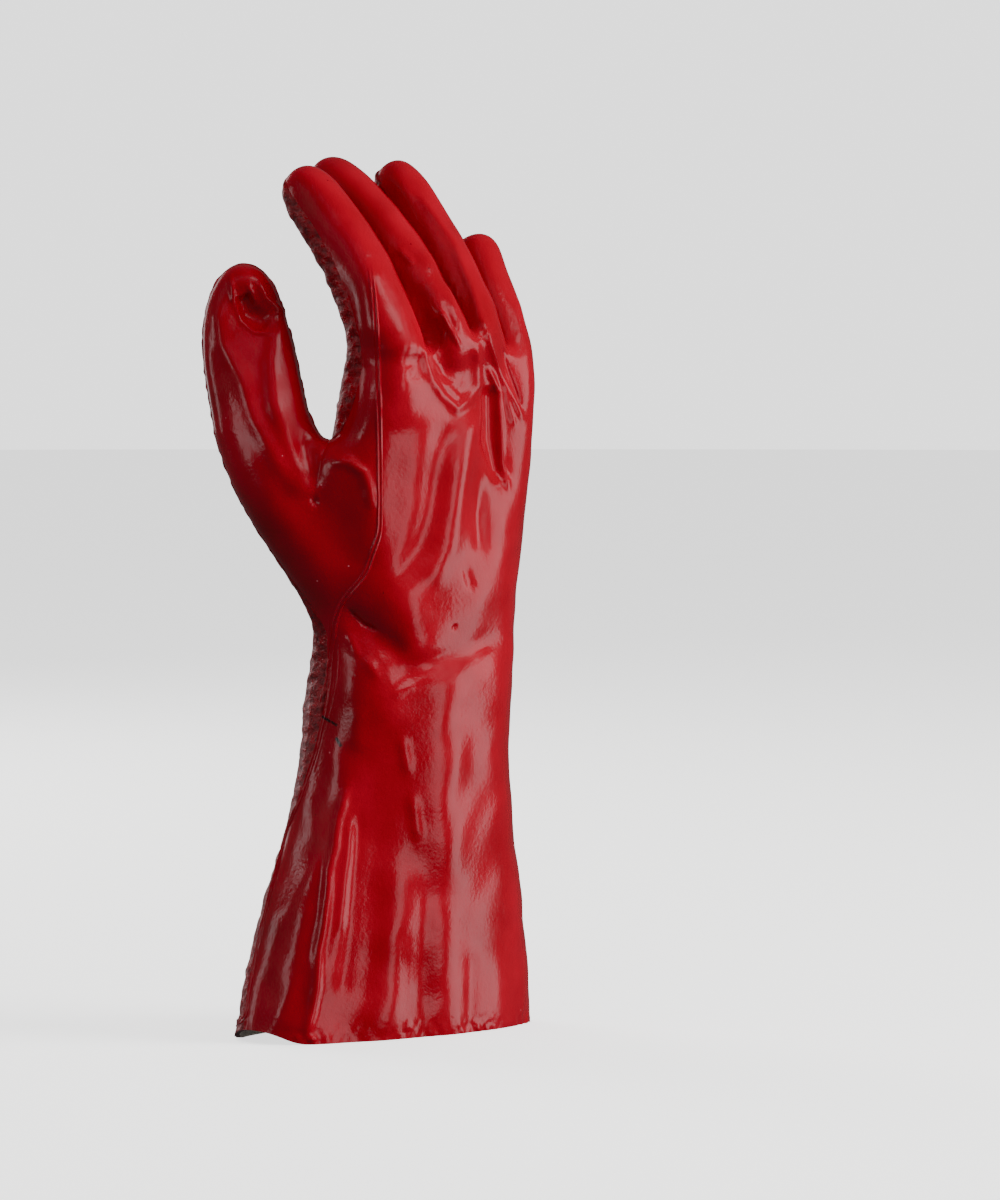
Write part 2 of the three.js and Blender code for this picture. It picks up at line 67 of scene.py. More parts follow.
# Folds and dents of the smooth coat: kind, half width, depth or height, the length over which its ends fade, and
# the chart points (u, v) that it runs through. A dent is round-bottomed, a crease is sharp, and a ridge stands up.
FOLDS = [
    # knuckles and the back of the hand
    ("dent", 4.4, 2.6, 5.2, [(16.6, 263.4), (19.2, 253), (24.1, 239)]),  # pocket between the index and middle knuckle
    # its rim
    ("ridge", 1.9, 1.0, 4.4, [(14.1, 254.5), (14.4, 247.1), (16.6, 240.5), (20.7, 234.9),
        (25.9, 230.5), (29.2, 233.8), (31.8, 239.7), (32.9, 248.6), (32.2, 256.8)]),
    ("ridge", 1.4, 0.5, 3, [(17.8, 245.3), (21.5, 239.7), (27.4, 233.4)]),  # wrinkle inside it
    ("ridge", 1.1, 0.8, 3.7, [(19.2, 267.1), (22.6, 260.4), (27, 253)]),  # fold down into it
    # leaf-shaped dent behind the ring knuckle
    ("dent", 3.1, 2.6, 5.2, [(37, 240.5), (37.4, 230.8), (38.5, 219.8), (42.2, 204.2)]),
    # its rim on the little finger side
    ("ridge", 1.3, 0.9, 4.4, [(36.6, 247.1), (41.1, 237.5), (41.8, 223.5), (42.5, 211.6), (45.1, 201.2)]),
    ("dent", 2.5, 1.0, 6.5, [(34.8, 203.5), (33.7, 192), (34.4, 176.8)]),  # trough below it
    ("dent", 1.7, 0.5, 2.5, [(28.9, 172.2), (31.4, 163.5)]),  # pit
    ("dent", 1.1, 0.6, 1.1, [(24.1, 150.2), (25.5, 149.1)]),  # pit
    # fold from the ring finger
    ("ridge", 1.4, 0.7, 3.7, [(34.4, 264.9), (38.1, 254.5), (42.2, 243.1), (47.7, 233.1), (50.3, 227.2)]),
    ("ridge", 1.3, 0.6, 3.7, [(42.5, 240.5), (44.4, 233.8), (47.4, 224.9)]),  # fold from the little finger
    ("crease", 1.1, 0.8, 3.7, [(42.5, 254.9), (45.5, 244.9), (49.6, 232.7)]),  # crease between them
    ("ridge", 3.0, 0.6, 3.7, [(-2.6, 250.8), (4.1, 251.6), (13.3, 251.6)]),  # fold across the index knuckle
    ("dent", 3, 0.9, 3.7, [(5.5, 244.9), (11.5, 246.4), (9.2, 238.2)]),  # hollow below that fold
    # trough and crest that run obliquely down the back
    ("dent", 5, 1.5, 9, [(23.3, 225.3), (19.6, 212.4), (16.7, 193.9), (12.2, 179), (3.7, 164.3)]),
    ("ridge", 4.5, 1.5, 8, [(36.3, 247.5), (34, 234.5), (29.2, 216), (25.5, 197.6), (22.6, 179), (15.9, 164.3)]),
    # crest from the wrist down to the cuff
    ("ridge", 7.5, 1.4, 14, [(24.1, 138.4), (22.9, 108.7), (22.6, 79.1), (23.3, 49.5)]),
    # fingers
    ("ridge", 1.8, 0.8, 9, [(11.1, 312.3), (24.1, 293.8), (31.5, 275.3), (35.2, 260.5)]),  # crest of the ring finger
    ("ridge", 3, 0.8, 5, [(2.6, 319), (9.3, 308.6)]),  # bulge near its tip
    ("ridge", 3, 0.9, 5, [(12.5, 290.5), (18.9, 280.9)]),  # bulge on the middle finger
    ("ridge", 2, 0.9, 5, [(22.2, 279), (27, 258.6)]),  # fold at its knuckle
    ("ridge", 1.6, 0.6, 3, [(3.7, 290), (10, 283.4)]),  # fold on the side of the index finger
    ("ridge", 2, 0.7, 5, [(48.1, 275.3), (50, 254.9)]),  # crest of the little finger
    ("ridge", 6, 1.6, 8, [(-6.3, 284), (-4, 252)]),  # flat back of the index finger: its thumb side
    ("dent", 5, 1.4, 7, [(11.5, 277), (14, 257)]),  # and its other side
    # edge between the back of the hand and the thumb side, under the seam
    ("ridge", 7.5, 1.9, 14, [(-14, 300), (-8, 276), (-6, 240), (-4, 205), (-4.4, 188), (-8, 172)]),
    # thumb
    ("dent", 3.3, 2.2, 3, [(-53.6, 272.3), (-50.7, 265.6), (-43.3, 261.6)]),  # pinch in the tip
    # its lower rim
    ("ridge", 1.1, 0.7, 3.7, [(-57.7, 278.9), (-56.6, 270.1), (-53.6, 262.3), (-49.2, 258.2), (-42.5, 257.5)]),
    ("ridge", 1.1, 0.7, 3, [(-51.4, 276), (-48.5, 268.6)]),  # wrinkle in its upper side
    ("ridge", 1.3, 0.9, 3.3, [(-47.7, 277.5), (-44.8, 270.8), (-37.4, 264.9)]),  # its upper rim
    # ridge down the inner side
    ("ridge", 3.6, 1.5, 7.4, [(-40, 263.4), (-42.5, 247.1), (-41.5, 231.6),
        (-37.5, 218.3), (-32, 206.4), (-28.6, 196.4)]),
    # ridge down the outer side
    ("ridge", 3.4, 1.3, 7.4, [(-62.5, 269.3), (-60.7, 253.8), (-53.6, 241.2),
        (-48.8, 225.7), (-40.3, 210.1), (-30.7, 195.7)]),
    ("dent", 3.3, 0.8, 5.9, [(-31.4, 219.8), (-27.8, 208.7), (-25.5, 199)]),  # hollow towards the index finger
    ("dent", 1.9, 1, 1.9, [(-28.5, 195), (-24.8, 195.7)]),  # star where the folds meet
    ("crease", 0.9, 0.5, 4.4, [(-20.4, 221.2), (-24.4, 210.1), (-27, 196.8)]),  # fine crease up to the web
    # edge of the bulge over the thumb root
    ("ridge", 2, 1.1, 5.2, [(-21.1, 210.1), (-13.7, 209.4), (-8.9, 205.7), (-7, 199.8), (-5.9, 192.4)]),
    ("ridge", 1.5, 0.4, 1.9, [(-17.4, 227.2), (-14.4, 222)]),  # small bulge
    ("ridge", 1.9, 0.4, 3, [(-9.2, 252.3), (-6.3, 244.2)]),  # small bulge
    # wrist
    # broad fold below the thumb root
    ("dent", 4.1, 1.4, 7.4, [(-17.4, 157.6), (-10, 150.9), (-0.4, 143.9), (7.8, 136.9)]),
    ("crease", 1.3, 1.3, 3.7, [(-14.4, 155.4), (-9.2, 150.2), (-3, 147.2)]),  # its sharp bottom
    ("dent", 4.1, 1, 8.1, [(1.1, 130.2), (15.9, 135.4), (29.2, 141.3), (42.5, 148)]),  # oblique fold across the wrist
    ("ridge", 1.9, 0.6, 3.7, [(-14.4, 147.2), (-10.7, 137.6)]),  # bulge
    ("ridge", 2, 0.6, 3.7, [(-8.5, 138.3), (-3, 130.2)]),  # bulge
    ("ridge", 1.9, 0.4, 3.7, [(1.1, 123.5), (10.7, 128.4)]),  # bulge
    ("ridge", 3.3, 0.6, 5.2, [(-10, 120.6), (-11.5, 102.8)]),  # bulge
    ("ridge", 2.2, 0.7, 5.2, [(5.2, 109.5), (7.8, 94.7)]),  # bulge
    ("ridge", 2.2, 0.7, 5.9, [(8.9, 88), (11.5, 69.9)]),  # bulge
    # cuff
    # upright fold
    ("ridge", 2, 1.3, 7.4, [(-14.4, 90.6), (-18.1, 78.4), (-19.2, 68.1), (-21.5, 59.9), (-22.2, 49.5),
        (-23.3, 39.9), (-25.2, 30.3), (-25.9, 16.2), (-27.4, 8.1), (-30.3, -2.2)]),
    ("dent", 3, 0.7, 7.4, [(-21.8, 64.4), (-25.5, 47.7), (-29.6, 27.4), (-32.9, 8.8)]),  # hollow on its thumb side
    ("dent", 3, 0.6, 7.4, [(-10, 82.1), (-12.2, 60.6), (-13.7, 38.4), (-16.6, 12.5)]),  # hollow on its other side
    ("ridge", 2.2, 0.7, 5.2, [(-13.3, 77.7), (-15.2, 56.9), (-17.4, 36.6)]),  # soft bulge beside it
    ("ridge", 3.3, 0.5, 7.4, [(-24.1, 67.3), (-31.4, 53.2), (-38.9, 39.9)]),  # slanting bulge
    ("ridge", 3, 0.5, 7.4, [(-27, 28.8), (-34.4, 15.5), (-42.5, -0.8)]),  # slanting bulge
    ("ridge", 6.5, 1.2, 11.1, [(2.6, 62), (2.6, 38.4), (0.4, 12.5), (-3.3, -4.5)]),  # soft rib down to the edge
    ("dent", 3.2, 0.4, 5.2, [(4.8, 38.4), (7, 21.8), (6.3, 5.2)]),  # hollow in it
    ("dent", 4.1, 0.8, 11.1, [(15.2, 56.9), (12.9, 31), (12.6, -2.2)]),  # hollow beside it
    ("ridge", 4.8, 0.7, 11.1, [(22.6, 49.5), (21.8, 20), (22.6, -3.7)]),  # soft rib
    ("dent", 2.6, 0.6, 7.4, [(31.4, 31), (30.7, -2.2)]),  # hollow
    ("ridge", 5.2, 0.7, 11.1, [(40.3, 31), (41.4, -2.2)]),  # soft rib
    ("ridge", 1.5, 0.9, 1.5, [(-28.2, -1.2), (-27.4, -3.9)]),  # drop of coat at the edge
    ("ridge", 1.4, 0.8, 1.5, [(37.6, 0.4), (38.4, -2.6)]),  # drop of coat at the edge
]

# Folds of the palm side, on the same chart but on the faces turned away from the camera. They are a guess at where
# a cotton-lined palm like this one bends.
PALM_FOLDS = [
    ("dent", 3.2, 1.4, 12, [(-14, 226), (-13, 212), (-9, 196), (-6, 180), (-8, 166)]),  # round the thumb root
    ("dent", 3.0, 1.1, 10, [(-4, 236), (8, 226), (20, 214)]),  # across the upper palm
    ("dent", 2.8, 1.0, 9, [(6, 246), (18, 240), (32, 236)]),  # below the fingers
    ("dent", 3.4, 1.2, 10, [(-20, 152), (0, 149), (22, 151)]),  # at the wrist
    ("ridge", 3.6, 0.8, 10, [(-20, 160), (2, 157), (24, 160)]),  # above it
    ("dent", 4.4, 0.9, 14, [(-16, 118), (-2, 92), (4, 62)]),  # slack in the cuff
    ("ridge", 5.0, 0.9, 14, [(10, 110), (12, 70), (10, 30)]),  # rib beside it
]


def linear(hex_colour):
    """The linear RGBA of an sRGB hex colour."""
    values = [int(hex_colour[i:i + 2], 16) / 255 for i in (1, 3, 5)]
    return [v / 12.92 if v <= 0.04045 else ((v + 0.055) / 1.055) ** 2.4 for v in values] + [1.0]


def select_only(obj):
    """Makes this the one selected object, and the active one."""
    bpy.ops.object.select_all(action="DESELECT")
    obj.select_set(True)
    bpy.context.view_layer.objects.active = obj


# ---- the coat's surface ----

# How the panels are read and joined.
SHARP_EDGE = math.radians(50)  # edges sharper than this divide a panel's outer sheet from its rim and its inside
SAME_VERTEX = 0.01 * MM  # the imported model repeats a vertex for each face
PANEL_GAP = 0.6 * MM  # the two panels' edges lie this close or closer

# How far apart the coat's vertices may lie, in mm, where no fold runs.
ROUGH_SPACING = 1.3
SEEN_SPACING = 1.35
HIDDEN_SPACING = 2.2
SQUARE_SIDE = 0.7  # the side of a square, as a share of its diagonal

# Facing is 1 towards the camera and -1 away from it. Below this, nothing is seen.
TURNED_AWAY = -0.1


def smooth_patches(mesh, angle):
    """Groups of faces that no edge sharper than the angle divides."""
    seen = set()
    patches = []
    for first in mesh.faces:
        if first in seen:
            continue
        seen.add(first)
        patch = [first]
        for face in patch:
            for edge in face.edges:
                if edge.calc_face_angle(math.pi) > angle:
                    continue
                for other in edge.link_faces:
                    if other not in seen:
                        seen.add(other)
                        patch.append(other)
        patches.append(patch)
    return patches


def outer_sheet(node):
    """A copy of a panel's outer faces, as four-sided faces."""
    sheet = bpy.data.objects.new("sheet", node.data.copy())
    bpy.context.collection.objects.link(sheet)
    select_only(sheet)
    bpy.ops.mesh.customdata_custom_splitnormals_clear()
    bpy.ops.object.mode_set(mode="EDIT")
    bpy.ops.mesh.select_all(action="SELECT")
    bpy.ops.mesh.remove_doubles(threshold=SAME_VERTEX)
    mesh = bmesh.from_edit_mesh(sheet.data)
    patches = smooth_patches(mesh, SHARP_EDGE)
    outer = set(max(patches, key=lambda patch: sum(face.calc_area() for face in patch)))
    for face in mesh.faces:
        face.select_set(face not in outer)
    bpy.ops.mesh.delete(type="FACE")
    bpy.ops.mesh.select_all(action="SELECT")
    bpy.ops.mesh.tris_convert_to_quads(face_threshold=math.pi, shape_threshold=math.pi, topology_influence=1.0)
    bpy.ops.object.mode_set(mode="OBJECT")
    return sheet


def glove_surface(levels):
    """The whole outer surface of the glove, open only at the cuff, refined this many times.

    Its material index is 0 on the back panel and 1 on the palm panel.
    """
    sheets = [outer_sheet(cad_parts[name]) for name in ("back_panel", "palm_panel")]
    for sheet in sheets:
        sheet.data.materials.clear()
        sheet.data.materials.append(None)
        sheet.data.materials.append(None)
    select_only(sheets[0])
    sheets[1].select_set(True)
    indices = [np.full(len(sheet.data.polygons), i, np.int32) for i, sheet in enumerate(sheets)]
    bpy.ops.object.join()
    surface = bpy.context.active_object
    surface.data.polygons.foreach_set("material_index", np.concatenate(indices))
    bpy.ops.object.mode_set(mode="EDIT")
    mesh = bmesh.from_edit_mesh(surface.data)
    for face in mesh.faces:
        face.select_set(False)
    for vertex in mesh.verts:
        vertex.select_set(vertex.is_boundary)
    bpy.ops.mesh.remove_doubles(threshold=PANEL_GAP)
    bpy.ops.object.mode_set(mode="OBJECT")
    rounding = surface.modifiers.new("rounding", "SUBSURF")
    rounding.levels = rounding.render_levels = levels
    rounding.boundary_smooth = "PRESERVE_CORNERS"
    bpy.ops.object.modifier_apply(modifier=rounding.name)
    return surface


def mesh_arrays(obj):
    """Its points in mm, its vertex normals, its faces and their material indices."""
    mesh = obj.data
    points = np.empty(len(mesh.vertices) * 3)
    mesh.vertices.foreach_get("co", points)
    normals = np.empty(len(mesh.vertices) * 3)
    mesh.vertex_normals.foreach_get("vector", normals)
    side = np.empty(len(mesh.polygons), np.int32)
    mesh.polygons.foreach_get("material_index", side)
    faces = [tuple(face.vertices) for face in mesh.polygons]
    return points.reshape(-1, 3) / MM, normals.reshape(-1, 3), faces, side


def remove(obj):
    """Deletes an object and its mesh."""
    mesh = obj.data
    bpy.data.objects.remove(obj)
    bpy.data.meshes.remove(mesh)


def refine_where(surface, reference, chosen):
    """Cuts the chosen faces in four and lays the new vertices on the reference surface."""
    select_only(surface)
    bpy.ops.object.mode_set(mode="EDIT")
    mesh = bmesh.from_edit_mesh(surface.data)
    for face in mesh.faces:
        face.select_set(False)
    mesh.faces.ensure_lookup_table()
    for i in np.nonzero(chosen)[0]:
        mesh.faces[i].select_set(True)
    bpy.ops.mesh.subdivide(number_cuts=1, smoothness=0.0, ngon=True, quadcorner="INNERVERT")
    bpy.ops.object.mode_set(mode="OBJECT")
    tree, places = reference
    for vertex in surface.data.vertices:
        vertex.co = places[tree.find(vertex.co)[1]]


def refined_surface():
    """The glove's outer surface in mm with its normals, finest at the narrow folds and coarse where nothing is."""
    reference = glove_surface(4)
    points, normals, _, _ = mesh_arrays(reference)
    remove(reference)
    tree = point_tree(points * MM)
    places = (points * MM).tolist()

    surface = glove_surface(2)
    for _ in range(2):
        corners, corner_normals, faces, side = mesh_arrays(surface)
        facing = face_means(corner_normals, faces) @ -AWAY
        diagonals = np.array([np.linalg.norm(corners[face[0]] - corners[face[2]]) for face in faces])
        chosen = diagonals * SQUARE_SIDE > spacing_wanted(face_means(corners, faces), facing, side)
        refine_where(surface, (tree, places), chosen)
    corners, _, faces, side = mesh_arrays(surface)
    nearest = [tree.find(corner)[1] for corner in corners * MM]
    remove(surface)
    return points[nearest], normals[nearest], faces, side


def point_tree(points):
    """A tree that finds the nearest of the points."""
    tree = KDTree(len(points))
    for i, point in enumerate(points):
        tree.insert(point, i)
    tree.balance()
    return tree


def face_means(values, faces):
    """The mean of each face's corner values."""
    return np.array([values[list(face)].mean(axis=0) for face in faces])


def boundary_loop(faces):
    """The one closed chain of vertices round these faces, in the order of their corners."""
    edges = {edge for face in faces for edge in zip(face, face[1:] + face[:1])}
    follow = {a: b for a, b in edges if (b, a) not in edges}
    first = min(follow)
    loop = [first]
    while follow[loop[-1]] != first:
        loop.append(follow[loop[-1]])
    if len(loop) != len(follow):
        raise RuntimeError("a panel has more than one boundary")
    return loop


# ---- relief ----

FAR = 1e9
SHOWN_CELL = 2.5  # the foremost point is looked for in squares of the chart this wide, in mm
SHOWN_DEPTH = (9.0, 15.0)  # how far behind it a fold starts to fade and is gone; a finger is about 22 mm thick
LINING_REACH = 4.5  # the lining is coarser than the coat and lies below the deepest relief this near, in mm

# Seeded waves of the coat, in mm: height, wavelength, seed, and how many are summed.
SWELL = [(0.32, 34.0, 1, 28), (0.13, 15.0, 2, 28)]  # the cloth under the coat lies a little slack everywhere
CRINKLE = [(0.2, 4.5, 3, 60), (0.13, 2.8, 4, 60)]  # short level wrinkles of the rough coat
BEADS = [(0.22, 4.0, 5, 28)]  # the coat beads a little where it was cut off at the cuff
LEVEL = np.array([0.45, 0.45, 1.0])  # stretches waves to twice their length along the floor
ROUGH_THICKER = 0.3  # the rough coat is dipped twice

# The side seam's thread of coat: two close parallel lines down the thumb side, and two short single lines beside
# them at the wrist. Each line's chart points, then its profile: how far across, and how far it stands out.
SEAM_LINES = [
    ([(-5.9, 281), (-4.4, 268), (-3.3, 253), (-2.8, 234), (-2.6, 205), (-2.6, 183), (-4.8, 178), (-5.7, 175),
      (-7.4, 168.7), (-12.2, 163.5), (-16.3, 159.4), (-18.1, 156.1), (-19.2, 151.3), (-20, 143.5), (-20.7, 132.4),
      (-21.8, 121.7), (-24.1, 113.2), (-25.5, 105.8), (-28.9, 96.2), (-31.8, 86.6), (-37, 75.5), (-40.7, 60.6),
      (-45.5, 42.2), (-48.1, 31.1), (-51.2, 12), (-52.2, 4), (-52.8, 0.6)],
     [(-1.7, -0.25), (-1.15, 0.05), (-0.7, 0.42), (-0.3, 0.12), (0.3, 0.12), (0.7, 0.42), (1.15, 0.05), (1.7, -0.25)]),
    ([(-21.1, 153.9), (-21.8, 145.8), (-21.8, 132.4), (-23.3, 127.3), (-24.8, 121.7)],
     [(-0.8, -0.2), (-0.35, 0.16), (0.0, 0.26), (0.35, 0.16), (0.8, -0.2)]),
    ([(-17.8, 145.8), (-18.1, 131), (-20.4, 119.9), (-23.3, 108.8), (-27, 95.8)],
     [(-0.8, -0.2), (-0.35, 0.16), (0.0, 0.26), (0.35, 0.16), (0.8, -0.2)]),
]


def smoothstep(value, low, high):
    """0 below low, 1 above high, and a smooth rise between them."""
    t = np.clip((value - low) / (high - low), 0.0, 1.0)
    return t * t * (3.0 - 2.0 * t)


def waves(points, length, seed, count):
    """Seeded smooth noise from -1 to 1 or so, with this wavelength in mm."""
    random = np.random.default_rng(seed)
    directions = random.normal(size=(count, 3))
    directions /= np.linalg.norm(directions, axis=1)[:, None]
    rates = 2.0 * math.pi / (length * random.uniform(0.75, 1.5, count))
    phases = random.uniform(0.0, 2.0 * math.pi, count)
    total = np.zeros(len(points))
    for direction, rate, phase in zip(directions, rates, phases):
        total += np.sin(points @ direction * rate + phase)
    return total / math.sqrt(count / 2.0) / 1.6


def all_waves(points, rows):
    """The sum of these rows of waves, in mm."""
    return sum(height * waves(points, length, seed, count) for height, length, seed, count in rows)


def along_path(chart, path):
    """For each chart point: its distance from the path and how far along it lies. Also the path's length."""
    best = np.full(len(chart), FAR)
    along = np.zeros(len(chart))
    done = 0.0
    for a, b in zip(path[:-1], path[1:]):
        step = b - a
        length = math.hypot(*step)
        t = np.clip(((chart - a) @ step) / length ** 2, 0.0, 1.0)
        offset = chart - a - t[:, None] * step
        distance = np.hypot(offset[:, 0], offset[:, 1])
        closer = distance < best
        best[closer] = distance[closer]
        along[closer] = done + t[closer] * length
        done += length
    return best, along, done


def chart_of(points):
    """Where the points lie on the chart."""
    return np.stack([points @ RIGHT, points @ UP], axis=1)


def near_path(chart, path, width):
    """Which points lie in the box round the path, three fold widths wider on each side."""
    return np.all((chart > path.min(axis=0) - 3.0 * width) & (chart < path.max(axis=0) + 3.0 * width), axis=1)


def spacing_wanted(points, facing, side):
    """How far apart the coat's vertices may lie at these places, in mm."""
    chart = chart_of(points)
    wanted = np.where(side == 1, ROUGH_SPACING, np.where(facing > TURNED_AWAY, SEEN_SPACING, HIDDEN_SPACING))
    for _, width, _, _, path in FOLDS:
        path = np.array(path)
        where = np.nonzero(near_path(chart, path, width) & (facing > 0.0))[0]
        distance, _, _ = along_path(chart[where], path)
        close = where[distance < 1.0 + 1.7 * width]
        wanted[close] = np.minimum(wanted[close], 0.4 * width)
    return wanted


def shown_share(points, chart):
    """1 at the points that the camera side shows, 0 well behind another part of the glove, such as a finger."""
    depth = points @ AWAY
    cells = np.floor(chart / SHOWN_CELL).astype(int)
    cells -= cells.min(axis=0)
    front = np.full(cells.max(axis=0) + 1, FAR)
    np.minimum.at(front, (cells[:, 0], cells[:, 1]), depth)
    return 1.0 - smoothstep(depth - front[cells[:, 0], cells[:, 1]], *SHOWN_DEPTH)


def relief(points, normals, rough):
    """How far the coat stands out at each point, in mm. rough is 1 on the rough coat and 0 on the smooth one."""
    chart = chart_of(points)
    facing = -(normals @ AWAY)
    total = np.zeros(len(points))
    shown = shown_share(points, chart)
    for turned, (kind, width, height, ends, path) in [(1, row) for row in FOLDS] + [(-1, row) for row in PALM_FOLDS]:
        path = np.array(path)
        where = np.nonzero(near_path(chart, path, width) & (turned * facing > TURNED_AWAY))[0]
        distance, along, length = along_path(chart[where], path)
        share = distance / width
        if kind == "crease":
            shape = -np.exp(-1.6 * share)
        elif kind == "dent":
            shape = -np.exp(-share ** 2)
        else:
            shape = np.exp(-share ** 2)
        fade = smoothstep(along, -0.4 * ends, ends) * smoothstep(length - along, -0.4 * ends, ends)
        if turned > 0:
            fade = fade * shown[where]
        total[where] += height * shape * fade * smoothstep(turned * facing[where], TURNED_AWAY, 0.45)

    total += all_waves(points, SWELL)
    total += rough * (ROUGH_THICKER + all_waves(points * LEVEL, CRINKLE))
    total += all_waves(points, BEADS) * smoothstep(9.0 - points[:, 2], 0.0, 8.0)
    return total


def pressed(points, normals, height):
    """The points moved along their normals, level near the cuff's edge so that the edge keeps its height."""
    move = normals.copy()
    move[:, 2] *= smoothstep(points[:, 2], 4.0, 14.0)
    return points + move * height[:, None]


def inside_seam(points, normals):
    """Whether a place lies on the smooth side of the seam along the wrist and the cuff."""
    line = np.array(SEAM_LINES[0][0][8:])[::-1]
    u, v = points @ RIGHT, points @ UP
    return (normals @ AWAY < 0.1) & (v < line[-1, 1]) & (u > np.interp(v, line[:, 1], line[:, 0]))


def rough_share(points, normals, faces, side):
    """1 at the vertices that only the rough coat has, else 0."""
    share = np.ones(len(points))
    for face, index in zip(faces, side):
        if index == 0:
            share[list(face)] = 0.0
    share[inside_seam(points, normals)] = 0.0
    return share


def lowest_relief(fine_points, fine_height, coarse_points, reach):
    """The deepest relief within reach of each coarse point, so that the inner wall stays inside the outer one."""
    tree = point_tree(fine_points)
    return np.array([
        min((fine_height[i] for _, i, _ in tree.find_range(point, reach)), default=0.0)
        for point in coarse_points
    ])


def kept_inside(tree, points, wall):
    """The lining's points, with those under which the wall is too thin set back from the outer surface."""
    kept = points.copy()
    for i in range(len(kept)):
        # Under a narrow dent it takes more than one step.
        for _ in range(4):
            place, normal, _, _ = tree.find_nearest(Vector(kept[i]))
            if (place - Vector(kept[i])).dot(normal) >= 0.5 * wall:
                break
            kept[i] = place - normal * wall
    return kept


# ---- pieces ----

BOUNDARY_GAP = 0.2  # the unpressed boundaries of coat and lining meet within this, in mm
COAT_SMOOTH = math.radians(70)  # faces that meet at less are shaded as one surface
SEAM_SMOOTH = math.radians(75)

coat = {}


def make_coat_surface():
    """Works out the outer and the inner surface once, for both coats and the seam."""
    points, normals, faces, side = refined_surface()
    height = relief(points, normals, rough_share(points, normals, faces, side))
    coat["finish"] = np.where(inside_seam(face_means(points, faces), face_means(normals, faces)), 0, side)
    lining = glove_surface(1)
    inner_points, inner_normals, inner_faces, inner_side = mesh_arrays(lining)
    remove(lining)
    deepest = lowest_relief(points, height, inner_points, LINING_REACH)
    inner_normals[:, 2] *= smoothstep(inner_points[:, 2], 1.0, 10.0)
    inner_normals /= np.linalg.norm(inner_normals, axis=1)[:, None]
    wall = bpy.context.scene.glove_sizes.wall / MM
    outer = pressed(points, normals, height)
    inner = inner_points + inner_normals * (deepest - wall)[:, None]
    coat["tree"] = BVHTree.FromPolygons([Vector(point) for point in outer], faces)
    coat["outer"] = (outer, faces, side, points)
    coat["inner"] = (kept_inside(coat["tree"], inner, wall), inner_faces, inner_side, inner_points)


def new_piece(name, points, faces, materials):
    """A selected object of this mesh, whose points are in mm."""
    mesh = bpy.data.meshes.new(name)
    mesh.from_pydata((points * MM).tolist(), [], faces)
    for material in materials:
        mesh.materials.append(material)
    piece = bpy.data.objects.new(name, mesh)
    bpy.context.collection.objects.link(piece)
    select_only(piece)
    return piece


def part_of(sheet, index):
    """One panel's points, faces, boundary and unpressed boundary points."""
    points, faces, side, base = sheet
    own = [face for face, i in zip(faces, side) if i == index]
    used = sorted({corner for face in own for corner in face})
    number = {corner: k for k, corner in enumerate(used)}
    own = [tuple(number[corner] for corner in face) for face in own]
    loop = boundary_loop(own)
    return points[used], own, loop, base[used][loop]


def coat_piece(name, index, materials):
    """One coat as a closed wall: its outer faces, the lining's faces, and the edges between them."""
    outer, outer_faces, outer_loop, outer_edge = part_of(coat["outer"], index)
    inner, inner_faces, inner_loop, inner_edge = part_of(coat["inner"], index)
    gaps = np.linalg.norm(outer_edge[None] - inner_edge[:, None], axis=2)
    stops = gaps.argmin(axis=1)
    if gaps.min(axis=1).max() > BOUNDARY_GAP:
        raise RuntimeError("the outer and the inner boundary don't meet")
    count, around = len(outer), len(outer_loop)
    strips = []
    for k, start in enumerate(stops):
        following = (k + 1) % len(stops)
        length = (stops[following] - start) % around
        chain = [outer_loop[(start + i) % around] for i in range(length + 1)]
        strips.append(tuple(chain[::-1]) + (count + inner_loop[k], count + inner_loop[following]))
    lining = [tuple(count + corner for corner in face[::-1]) for face in inner_faces]

    piece = new_piece(name, np.concatenate([outer, inner]), outer_faces + lining + strips, materials)
    finish = coat["finish"][coat["outer"][2] == index].tolist()
    piece.data.polygons.foreach_set("material_index", finish + [2] * len(lining) + [3] * len(strips))
    piece.data.update()
    bpy.ops.object.shade_smooth_by_angle(angle=COAT_SMOOTH)
    return piece


SEAM_STEP = 1.0  # mm between the seam's cross-sections
SEAM_ROOT = 0.5  # its middle reaches this deep into the coat, in mm
CLEAR_OF_GLOVE = 500.0  # mm in front of it, where the rays that find the coat start
SEAM_START = (0.15, 8.0)  # the share of its height that it starts with, and the steps over which it rises


def averaged(line, passes):
    """The line with each inner point drawn towards its neighbours, this many times."""
    for _ in range(passes):
        line[1:-1] = 0.5 * line[1:-1] + 0.25 * (line[:-2] + line[2:])
    return line


def evenly_along(path, step):
    """Points a step apart on the chart path, its corners rounded a little."""
    path = np.array(path, float)
    lengths = np.concatenate([[0.0], np.cumsum(np.hypot(*np.diff(path, axis=0).T))])
    places = np.linspace(0.0, lengths[-1], int(lengths[-1] / step) + 1)
    return averaged(np.stack([np.interp(places, lengths, path[:, k]) for k in (0, 1)], axis=1), 12)


